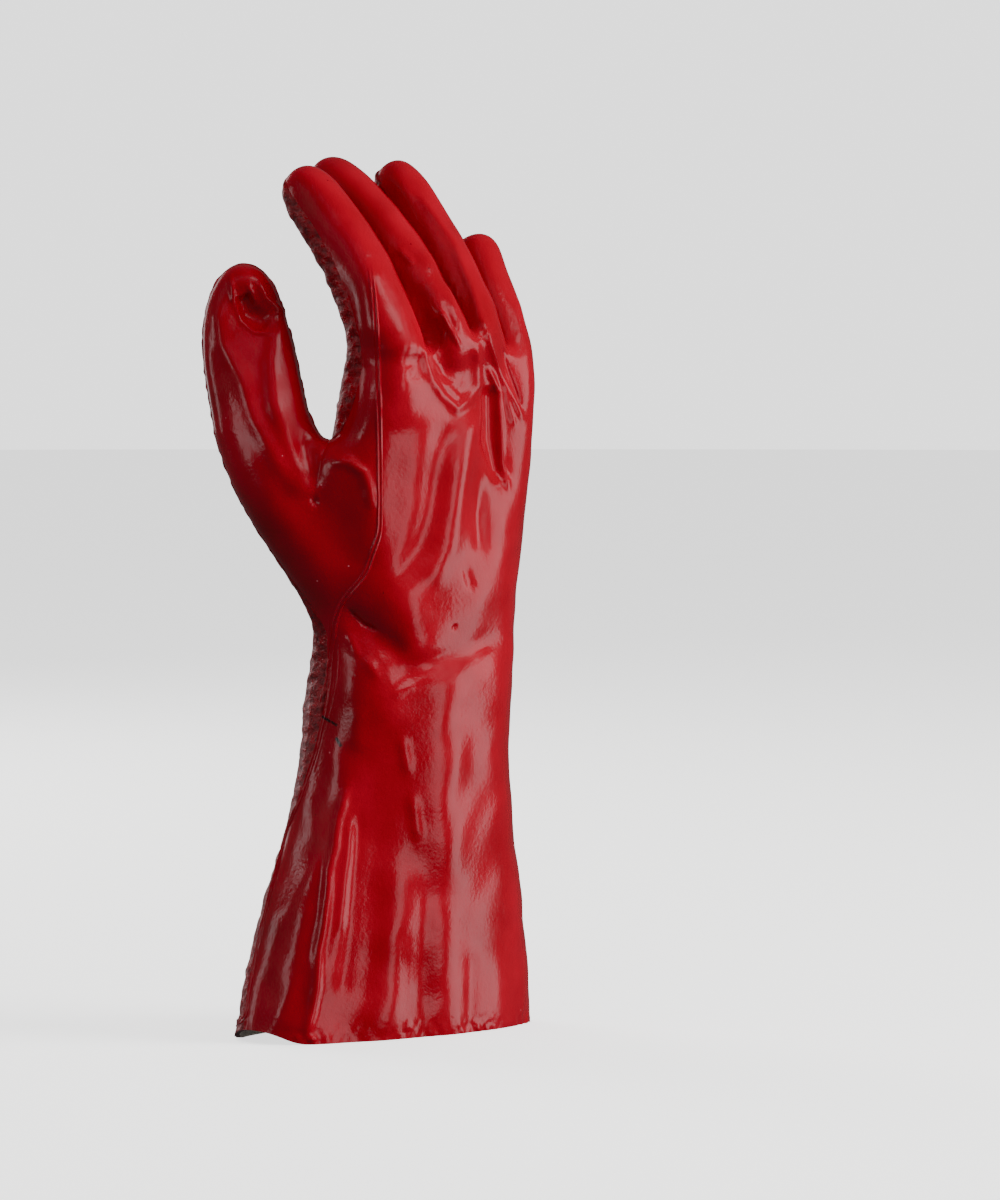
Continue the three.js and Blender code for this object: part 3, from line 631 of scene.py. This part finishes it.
def raised_line(tree, path, profile):
    """One line of the seam: a low closed bead that hugs the coat's surface."""
    toward = np.cross(RIGHT, UP)
    centres, normals = [], []
    for u, v in evenly_along(path, SEAM_STEP):
        start = Vector(u * RIGHT + v * UP + CLEAR_OF_GLOVE * toward)
        place, normal, _, _ = tree.ray_cast(start, Vector(-toward))
        if place is None:
            raise RuntimeError("the seam leaves the glove's outline")
        centres.append(place)
        normals.append(normal)
    centres, normals = averaged(np.array(centres), 10), averaged(np.array(normals), 10)
    normals /= np.linalg.norm(normals, axis=1)[:, None]
    across = np.cross(np.gradient(centres, axis=0), normals)
    across /= np.linalg.norm(across, axis=1)[:, None]
    points, faces = [], []
    width = len(profile) + 1
    for k, (centre, normal, sideways) in enumerate(zip(centres, normals, across)):
        fade = min(1.0, SEAM_START[0] + k / SEAM_START[1])
        for offset, height in profile:
            place = np.array(tree.find_nearest(Vector(centre + offset * sideways))[0])
            points.append(place + normal * (height if height < 0.0 else height * fade))
        points.append(centre - normal * SEAM_ROOT)
        if k:
            for i in range(width):
                a, b = (k - 1) * width + i, (k - 1) * width + (i + 1) % width
                faces.append((a, b, b + width, a + width))
    last = (len(centres) - 1) * width
    faces.append(tuple(range(width - 1, -1, -1)))
    faces.append(tuple(range(last, last + width)))
    return points, faces


def seam_piece(name, material):
    """All lines of the side seam, as one piece."""
    places, sides = [], []
    for path, profile in SEAM_LINES:
        new_points, new_faces = raised_line(coat["tree"], path, profile)
        sides += [tuple(len(places) + corner for corner in face) for face in new_faces]
        places += new_points
    piece = new_piece(name, np.array(places), sides, [material])
    bpy.ops.object.mode_set(mode="EDIT")
    bpy.ops.mesh.select_all(action="SELECT")
    bpy.ops.mesh.normals_make_consistent(inside=False)
    bpy.ops.object.mode_set(mode="OBJECT")
    bpy.ops.object.shade_smooth_by_angle(angle=SEAM_SMOOTH)
    return piece


# ---- materials ----

def add_node(tree, kind, settings=None, links=None):
    """Adds a node, sets its inputs or properties, and links sockets of other nodes to its inputs."""
    node = tree.nodes.new(kind)
    for key, value in (settings or {}).items():
        if isinstance(key, int) or key in node.inputs:
            node.inputs[key].default_value = value
        else:
            setattr(node, key, value)
    for key, socket in (links or {}).items():
        tree.links.new(socket, node.inputs[key])
    return node


def new_material(name):
    """A material with an empty node tree, its tree, and the socket of the piece's own coordinates."""
    material = bpy.data.materials.new(name)
    material.use_nodes = True
    tree = material.node_tree
    tree.nodes.clear()
    return material, tree, add_node(tree, "ShaderNodeTexCoord").outputs["Object"]


def pen_stroke(tree, place, start, end, width):
    """1 inside a straight pen stroke between two chart points on the near side of the wrist, else 0."""
    start, end = np.array(start), np.array(end)
    length = math.hypot(*(end - start))
    along = (end - start) / length
    across = np.array([-along[1], along[0]])
    middle = (start + end) / 2.0
    shares = []
    for direction, half in ((along, length / 2.0), (across, width / 2.0)):
        vector = direction[0] * RIGHT + direction[1] * UP
        dot = add_node(tree, "ShaderNodeVectorMath", {"operation": "DOT_PRODUCT", 1: tuple(vector)}, {0: place})
        offset = add_node(tree, "ShaderNodeMath", {"operation": "SUBTRACT", 1: float(middle @ direction) * MM},
                          {0: dot.outputs["Value"]})
        distance = add_node(tree, "ShaderNodeMath", {"operation": "ABSOLUTE"}, {0: offset.outputs["Value"]})
        share = add_node(tree, "ShaderNodeMapRange", {"From Min": (half - 0.25) * MM, "From Max": (half + 0.15) * MM,
                                                      "To Min": 1.0, "To Max": 0.0},
                         {"Value": distance.outputs["Value"]})
        shares.append(share.outputs["Result"])
    return add_node(tree, "ShaderNodeMath", {"operation": "MULTIPLY"}, {0: shares[0], 1: shares[1]}).outputs["Value"]


def smooth_pvc(colours):
    """Plasticised PVC dipped over cloth and left to gel: glossy and soft, so that broad lights show as patches with
    clear edges, with a faint orange peel, a few specks of dust and two pen ticks."""
    material, tree, place = new_material("dipped_soft_pvc_smooth")
    # The dip ran to an uneven thickness in patches 25 mm across; a thick coat is a deeper red.
    tone = add_node(tree, "ShaderNodeTexNoise", {"Scale": 1.0 / (25.0 * MM), "Detail": 3.0}, {"Vector": place})
    thin = add_node(tree, "ShaderNodeMapRange", {"From Min": 0.3, "From Max": 0.75}, {"Value": tone.outputs["Fac"]})
    red = add_node(tree, "ShaderNodeMix", {"data_type": "RGBA", 6: (*colours.smooth_deep, 1.0),
                                           7: (*colours.smooth_light, 1.0)}, {0: thin.outputs["Result"]})
    # Dust: specks up to 0.8 mm wide. They are scattered 9 mm apart in space and every second one is left out, so
    # that the coat shows one to about 40 by 40 mm. Half of them are dark and half are pale.
    dust = add_node(tree, "ShaderNodeTexVoronoi", {"Scale": 1.0 / (9.0 * MM)}, {"Vector": place})
    speck = add_node(tree, "ShaderNodeMapRange", {"From Min": 0.025, "From Max": 0.045, "To Min": 1.0, "To Max": 0.0},
                     {"Value": dust.outputs["Distance"]})
    chance = add_node(tree, "ShaderNodeSeparateColor", links={"Color": dust.outputs["Color"]})
    chosen = add_node(tree, "ShaderNodeMath", {"operation": "GREATER_THAN", 1: 0.45}, {0: chance.outputs["Red"]})
    pale = add_node(tree, "ShaderNodeMath", {"operation": "GREATER_THAN", 1: 0.55}, {0: chance.outputs["Green"]})
    tint = add_node(tree, "ShaderNodeMix", {"data_type": "RGBA", 6: linear("#3a0008"), 7: linear("#c4626c")},
                    {0: pale.outputs["Value"]})
    dusty = add_node(tree, "ShaderNodeMath", {"operation": "MULTIPLY"},
                     {0: speck.outputs["Result"], 1: chosen.outputs["Value"]})
    red = add_node(tree, "ShaderNodeMix", {"data_type": "RGBA"},
                   {0: dusty.outputs["Value"], 6: red.outputs[2], 7: tint.outputs[2]})
    # Two pen ticks, 1.1 and 1.3 mm wide; the ink skipped in spots 1.2 mm across.
    ticks = add_node(tree, "ShaderNodeMath", {"operation": "MAXIMUM"},
                     {0: pen_stroke(tree, place, (-26.6, 118.0), (-18.4, 113.0), 1.1),
                      1: pen_stroke(tree, place, (-18.9, 108.6), (-16.9, 105.2), 1.3)})
    skips = add_node(tree, "ShaderNodeTexNoise", {"Scale": 1.0 / (1.2 * MM)}, {"Vector": place})
    ink = add_node(tree, "ShaderNodeMapRange", {"From Min": 0.25, "From Max": 0.5, "To Min": 0.3, "To Max": 0.95},
                   {"Value": skips.outputs["Fac"]})
    marked = add_node(tree, "ShaderNodeMath", {"operation": "MULTIPLY"},
                      {0: ticks.outputs["Value"], 1: ink.outputs["Result"]})
    red = add_node(tree, "ShaderNodeMix", {"data_type": "RGBA", 7: (*colours.pen, 1.0)},
                   {0: marked.outputs["Value"], 6: red.outputs[2]})
    # Handling dulls it a little, in soft patches 6 mm across.
    handled = add_node(tree, "ShaderNodeTexNoise", {"Scale": 1.0 / (6.0 * MM), "Detail": 4.0}, {"Vector": place})
    dull = add_node(tree, "ShaderNodeMapRange", {"From Min": 0.3, "From Max": 0.7, "To Min": 0.12, "To Max": 0.2},
                    {"Value": handled.outputs["Fac"]})
    # Orange peel 1.6 mm across and the grain of the cloth under it, 0.7 mm.
    peel = add_node(tree, "ShaderNodeTexNoise", {"Scale": 1.0 / (1.6 * MM)}, {"Vector": place})
    waved = add_node(tree, "ShaderNodeBump", {"Strength": 0.6, "Distance": 0.14 * MM}, {"Height": peel.outputs["Fac"]})
    cloth = add_node(tree, "ShaderNodeTexNoise", {"Scale": 1.0 / (0.7 * MM)}, {"Vector": place})
    grained = add_node(tree, "ShaderNodeBump", {"Strength": 0.4, "Distance": 0.06 * MM},
                       {"Height": cloth.outputs["Fac"], "Normal": waved.outputs["Normal"]})
    shader = add_node(tree, "ShaderNodeBsdfPrincipled", {"IOR": 1.53},
                      {"Base Color": red.outputs[2], "Roughness": dull.outputs["Result"],
                       "Normal": grained.outputs["Normal"]})
    add_node(tree, "ShaderNodeOutputMaterial", links={"Surface": shader.outputs["BSDF"]})
    return material


def crinkled_pvc(colours):
    """Plasticised PVC dipped twice and crinkled for grip, with small sharp glints on its glossier tops and a scatter of
    burst bubbles. Its hollows are painted a deeper red and the bubbles' pits are painted dark: painted shade."""
    material, tree, place = new_material("dipped_soft_pvc_crinkled")
    # Crinkles 2.2 mm high and twice as long, with crumbs of 0.7 mm on them.
    level = add_node(tree, "ShaderNodeMapping", {"Scale": (0.55, 0.55, 1.0)}, {"Vector": place})
    crinkle = add_node(tree, "ShaderNodeTexNoise", {"Scale": 1.0 / (2.2 * MM), "Detail": 3.0, "Roughness": 0.6},
                       {"Vector": level.outputs["Vector"]}).outputs["Fac"]
    crumb = add_node(tree, "ShaderNodeTexNoise", {"Scale": 1.0 / (0.7 * MM)}, {"Vector": place})
    # The crinkles' hollows are painted a deeper red than their tops: painted shade.
    tops_unshaded = add_node(tree, "ShaderNodeMapRange", {"From Min": 0.35, "From Max": 0.62}, {"Value": crinkle})
    red = add_node(tree, "ShaderNodeMix", {"data_type": "RGBA", 6: (*colours.rough_hollow_shade, 1.0),
                                           7: (*colours.rough_light, 1.0)}, {0: tops_unshaded.outputs["Result"]})
    # Burst bubbles: pits 0.7 to 1.4 mm wide, scattered 4.5 mm apart in space: one to about 8 by 8 mm of the coat.
    bubbles = add_node(tree, "ShaderNodeTexVoronoi", {"Scale": 1.0 / (4.5 * MM)}, {"Vector": place})
    burst = add_node(tree, "ShaderNodeMapRange", {"From Min": 0.08, "From Max": 0.16, "To Min": 1.0, "To Max": 0.0},
                     {"Value": bubbles.outputs["Distance"]}).outputs["Result"]
    # The pits are painted dark: painted shade.
    shaded = add_node(tree, "ShaderNodeMath", {"operation": "MULTIPLY", 1: 0.7}, {0: burst})
    red = add_node(tree, "ShaderNodeMix", {"data_type": "RGBA", 7: linear("#2c0004")},
                   {0: shaded.outputs["Value"], 6: red.outputs[2]})
    # Its tops are rubbed glossier than its hollows.
    dull = add_node(tree, "ShaderNodeMapRange", {"From Min": 0.35, "From Max": 0.65, "To Min": 0.42, "To Max": 0.24},
                    {"Value": crinkle})
    folds = add_node(tree, "ShaderNodeBump", {"Strength": 0.9, "Distance": 0.8 * MM}, {"Height": crinkle})
    pits = add_node(tree, "ShaderNodeBump", {"Strength": 0.5, "Distance": 0.3 * MM, "invert": True},
                    {"Height": burst, "Normal": folds.outputs["Normal"]})
    crumbs = add_node(tree, "ShaderNodeBump", {"Strength": 0.5, "Distance": 0.15 * MM},
                      {"Height": crumb.outputs["Fac"], "Normal": pits.outputs["Normal"]})
    shader = add_node(tree, "ShaderNodeBsdfPrincipled", {"IOR": 1.53},
                      {"Base Color": red.outputs[2], "Roughness": dull.outputs["Result"],
                       "Normal": crumbs.outputs["Normal"]})
    add_node(tree, "ShaderNodeOutputMaterial", links={"Surface": shader.outputs["BSDF"]})
    return material


def knitted_cotton(colours):
    """Undyed cotton jersey, knitted and cut: matt and soft, with upright ribs of stitches and stray fibres."""
    material, tree, place = new_material("knitted_cotton_lining")
    # Waves repeat after 0.314 / Scale along an axis, and after twice that along x + y + z. So the ribs lie 2.1 mm
    # apart across their slant and the courses 1.4 mm apart: coarser than real jersey, so that they show.
    ribs = add_node(tree, "ShaderNodeTexWave", {"Scale": 0.314 / (1.8 * MM), "Distortion": 1.5, "Detail": 2.0,
                                                "bands_direction": "DIAGONAL"}, {"Vector": place})
    courses = add_node(tree, "ShaderNodeTexWave", {"Scale": 0.314 / (1.4 * MM), "Distortion": 1.0,
                                                   "bands_direction": "Z"}, {"Vector": place})
    stitches = add_node(tree, "ShaderNodeMath", {"operation": "MULTIPLY"},
                        {0: ribs.outputs["Fac"], 1: courses.outputs["Fac"]}).outputs["Value"]
    # Fluff in tufts 3 mm across.
    fluff = add_node(tree, "ShaderNodeTexNoise", {"Scale": 1.0 / (3.0 * MM), "Detail": 4.0, "Roughness": 0.7},
                     {"Vector": place})
    raised = add_node(tree, "ShaderNodeMath", {"operation": "ADD"}, {0: stitches, 1: fluff.outputs["Fac"]})
    share = add_node(tree, "ShaderNodeMapRange", {"From Min": 0.4, "From Max": 1.0}, {"Value": raised.outputs["Value"]})
    # The gaps between the raised stitches and tufts are painted darker: painted shade.
    shade = [value * 0.72 for value in colours.lining]
    pale = add_node(tree, "ShaderNodeMix", {"data_type": "RGBA", 6: (*shade, 1.0), 7: (*colours.lining, 1.0)},
                    {0: share.outputs["Result"]})
    bump = add_node(tree, "ShaderNodeBump", {"Strength": 0.6, "Distance": 0.2 * MM}, {"Height": stitches})
    shader = add_node(tree, "ShaderNodeBsdfPrincipled", {"Roughness": 0.95, "Sheen Weight": 0.3},
                      {"Base Color": pale.outputs[2], "Normal": bump.outputs["Normal"]})
    add_node(tree, "ShaderNodeOutputMaterial", links={"Surface": shader.outputs["BSDF"]})
    return material


# ---- stage ----

# Name, degrees to the right of the camera, degrees above the glove's middle, distance, width and height in metres,
# watts, and whether the coat mirrors it. One that isn't mirrored gives diffuse light only, as a wide bounce does.
SOFTBOXES = [
    ("softbox_right", 100, -4, 1.5, 0.6, 0.9, 2.9, True),
    ("softbox_upper_right", 52, 38, 1.5, 0.6, 0.55, 1.8, True),
    ("softbox_front_right", 62, -3, 1.5, 0.4, 0.8, 1.25, True),
    ("softbox_left", -45, 8, 1.4, 0.3, 0.3, 0.5, True),
    ("softbox_far_left", -94, 8, 1.4, 0.18, 0.5, 0.55, True),
    ("fill_left", -60, 25, 1.9, 1.0, 1.0, 7.0, False),
    ("key_right", 78, 22, 1.6, 1.0, 1.0, 50.0, False),
    ("ceiling_front", 0, 45, 1.8, 1.2, 1.0, 13.0, False),
    ("ceiling_back", 170, 65, 2.2, 1.6, 1.6, 14.0, False),
    ("fill_palm", 215, 20, 1.9, 1.0, 1.0, 34.0, False),
    ("softbox_palm", 215, 12, 1.6, 0.5, 0.9, 1.6, True),
]
GLOVE_MIDDLE = (0.0, 0.0, 0.17)
STUDIO_RADIUS = 6.0
STUDIO_HEIGHT = 6.0
WHITE = (1.0, 1.0, 1.0, 1.0)


def lit_acrylic():
    """Matt translucent acrylic, cast and softly lit from below: pale, without a mirror image."""
    material, tree, _ = new_material("matt_lit_acrylic")
    shader = add_node(tree, "ShaderNodeBsdfPrincipled", {
        "Base Color": linear("#d8d7d5"), "Emission Color": WHITE, "Emission Strength": 1.6,
        "Roughness": 0.9})
    add_node(tree, "ShaderNodeOutputMaterial", links={"Surface": shader.outputs["BSDF"]})
    return material


def lit_paper():
    """White paper, rolled out and lit from behind: an even white."""
    material, tree, _ = new_material("lit_white_paper")
    shader = add_node(tree, "ShaderNodeBsdfPrincipled", {
        "Base Color": (0.0, 0.0, 0.0, 1.0), "Emission Color": WHITE, "Emission Strength": 2.0})
    add_node(tree, "ShaderNodeOutputMaterial", links={"Surface": shader.outputs["BSDF"]})
    return material


def softbox(name, turn, lift, distance, width, height, watts, mirrored):
    """A soft rectangular lamp that looks at the glove."""
    turn, lift = math.radians(turn), math.radians(lift)
    level = math.cos(turn) * -AWAY + math.sin(turn) * RIGHT
    direction = Vector(math.cos(lift) * level + math.sin(lift) * Z)
    data = bpy.data.lights.new(name, "AREA")
    data.shape = "RECTANGLE"
    data.size, data.size_y, data.energy = width, height, watts
    lamp = bpy.data.objects.new(name, data)
    lamp.location = Vector(GLOVE_MIDDLE) + distance * direction
    lamp.rotation_euler = direction.to_track_quat("Z", "Y").to_euler()
    lamp.visible_camera = False
    lamp.visible_glossy = mirrored
    bpy.context.scene.collection.objects.link(lamp)


def make_studio():
    """A round floor and a round wall behind it, both out of the coat's mirror images, and a faint even light."""
    bpy.ops.object.select_all(action="DESELECT")
    bpy.ops.mesh.primitive_circle_add(vertices=96, radius=STUDIO_RADIUS, fill_type="NGON")
    floor = bpy.context.active_object
    floor.name = "floor"
    floor.data.materials.append(lit_acrylic())
    floor.visible_glossy = floor.visible_diffuse = False
    bpy.ops.object.select_all(action="DESELECT")
    bpy.ops.mesh.primitive_cylinder_add(vertices=96, radius=STUDIO_RADIUS, depth=STUDIO_HEIGHT,
                                        end_fill_type="NOTHING", location=(0.0, 0.0, STUDIO_HEIGHT / 2.0))
    wall = bpy.context.active_object
    wall.name = "backdrop"
    wall.data.materials.append(lit_paper())
    wall.visible_diffuse = wall.visible_glossy = wall.visible_shadow = False

    world = bpy.data.worlds.new("studio")
    world.use_nodes = True
    world.node_tree.nodes["Background"].inputs["Color"].default_value = WHITE
    world.node_tree.nodes["Background"].inputs["Strength"].default_value = 0.08
    bpy.context.scene.world = world


def make_lights():
    """Softboxes where the coat mirrors them as in the photograph, and wide fills that it doesn't mirror."""
    for row in SOFTBOXES:
        softbox(*row)


def make_camera():
    """The camera at the photograph's angle, with the glove at the left of the frame."""
    camera_data = bpy.data.cameras.new("camera")
    camera = bpy.data.objects.new("camera", camera_data)
    bpy.context.scene.collection.objects.link(camera)
    bpy.context.scene.camera = camera
    distance = 3.5
    seen_height = 0.449  # what the frame's height takes in at the glove
    aim = (41.7 * RIGHT + 161.0 * UP) * MM
    lift = math.radians(3.0)
    toward = math.sin(lift) * Z - math.cos(lift) * AWAY
    camera.location = aim + toward * distance
    camera.rotation_euler = Vector(toward).to_track_quat("Z", "Y").to_euler()
    camera_data.sensor_fit = "VERTICAL"
    camera_data.sensor_height = 36.0
    camera_data.lens = camera_data.sensor_height * distance / seen_height
    camera_data.clip_end = 50.0


class GloveSizes(bpy.types.PropertyGroup):
    """Sizes of the coat"""
    wall: bpy.props.FloatProperty(name="Wall", description="Coat and lining together", default=1.4 * MM,
                                  min=1.0 * MM, max=3.0 * MM, subtype="DISTANCE", unit="LENGTH")


def colour(name, description, value):
    """A colour property with this sRGB hex colour as its default."""
    return bpy.props.FloatVectorProperty(name=name, description=description, default=linear(value)[:3],
                                         subtype="COLOR", size=3, min=0.0, max=1.0)


class GloveColours(bpy.types.PropertyGroup):
    """Colours of the coat and the lining"""
    smooth_deep: colour("Smooth, deep", "The smooth coat where it lies thickest", "#820012")
    smooth_light: colour("Smooth, light", "The smooth coat where it lies thinnest", "#9a001b")
    # The deep rough colour is painted shade in the crinkles' hollows.
    rough_hollow_shade: colour("Rough, deep", "The hollows of the crinkled coat", "#5a0009")
    rough_light: colour("Rough, light", "The tops of the crinkled coat", "#8c0014")
    lining: colour("Lining", "The undyed cotton inside", "#cfc4b4")
    pen: colour("Pen", "The two pen ticks at the wrist", "#16080c")


class GLOVE_OT_coats(bpy.types.Operator):
    """Build the smooth coat and the rough coat with their lining"""
    bl_idname = "glove.coats"
    bl_label = "Coats"

    def execute(self, context):
        make_coat_surface()
        colours = context.scene.glove_colours
        lining = knitted_cotton(colours)
        smooth = smooth_pvc(colours)
        rough = crinkled_pvc(colours)
        back = coat_piece("smooth_coat", 0, (smooth, rough, lining, smooth))
        palm = coat_piece("rough_coat", 1, (smooth, rough, lining, rough))
        for piece, node, slot in ((back, "back_panel", "smooth_pvc"), (palm, "palm_panel", "rough_pvc")):
            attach(piece, "root")
            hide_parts(node)
        return {"FINISHED"}


class GLOVE_OT_seam(bpy.types.Operator):
    """Lay the raised lines of the side seam on the smooth coat"""
    bl_idname = "glove.seam"
    bl_label = "Side seam"

    def execute(self, context):
        piece = seam_piece("side_seam", bpy.data.materials["dipped_soft_pvc_smooth"])
        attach(piece, "root")
        return {"FINISHED"}


class GLOVE_OT_stage(bpy.types.Operator):
    """Set the floor, the lights and the camera"""
    bl_idname = "glove.stage"
    bl_label = "Stage"

    def execute(self, context):
        make_studio()
        make_lights()
        make_camera()
        return {"FINISHED"}


class GLOVE_PT_panel(bpy.types.Panel):
    """Sizes and steps of the glove"""
    bl_idname = "GLOVE_PT_panel"
    bl_label = "Glove"
    bl_space_type = "VIEW_3D"
    bl_region_type = "UI"
    bl_category = "Glove"

    def draw(self, context):
        layout = self.layout
        layout.prop(context.scene.glove_sizes, "wall")
        for name in ("smooth_deep", "smooth_light", "rough_hollow_shade", "rough_light", "lining", "pen"):
            layout.prop(context.scene.glove_colours, name)
        layout.operator("glove.coats")
        layout.operator("glove.seam")
        layout.operator("glove.stage")


CLASSES = (GloveSizes, GloveColours, GLOVE_OT_coats, GLOVE_OT_seam, GLOVE_OT_stage, GLOVE_PT_panel)


def register():
    for item in CLASSES:
        bpy.utils.register_class(item)
    bpy.types.Scene.glove_sizes = bpy.props.PointerProperty(type=GloveSizes)
    bpy.types.Scene.glove_colours = bpy.props.PointerProperty(type=GloveColours)


def unregister():
    del bpy.types.Scene.glove_colours
    del bpy.types.Scene.glove_sizes
    for item in reversed(CLASSES):
        bpy.utils.unregister_class(item)


def main():
    """Builds all pieces and the stage."""
    register()
    bpy.ops.glove.coats()
    bpy.ops.glove.seam()
    bpy.ops.glove.stage()


if __name__ == "__main__":
    main()
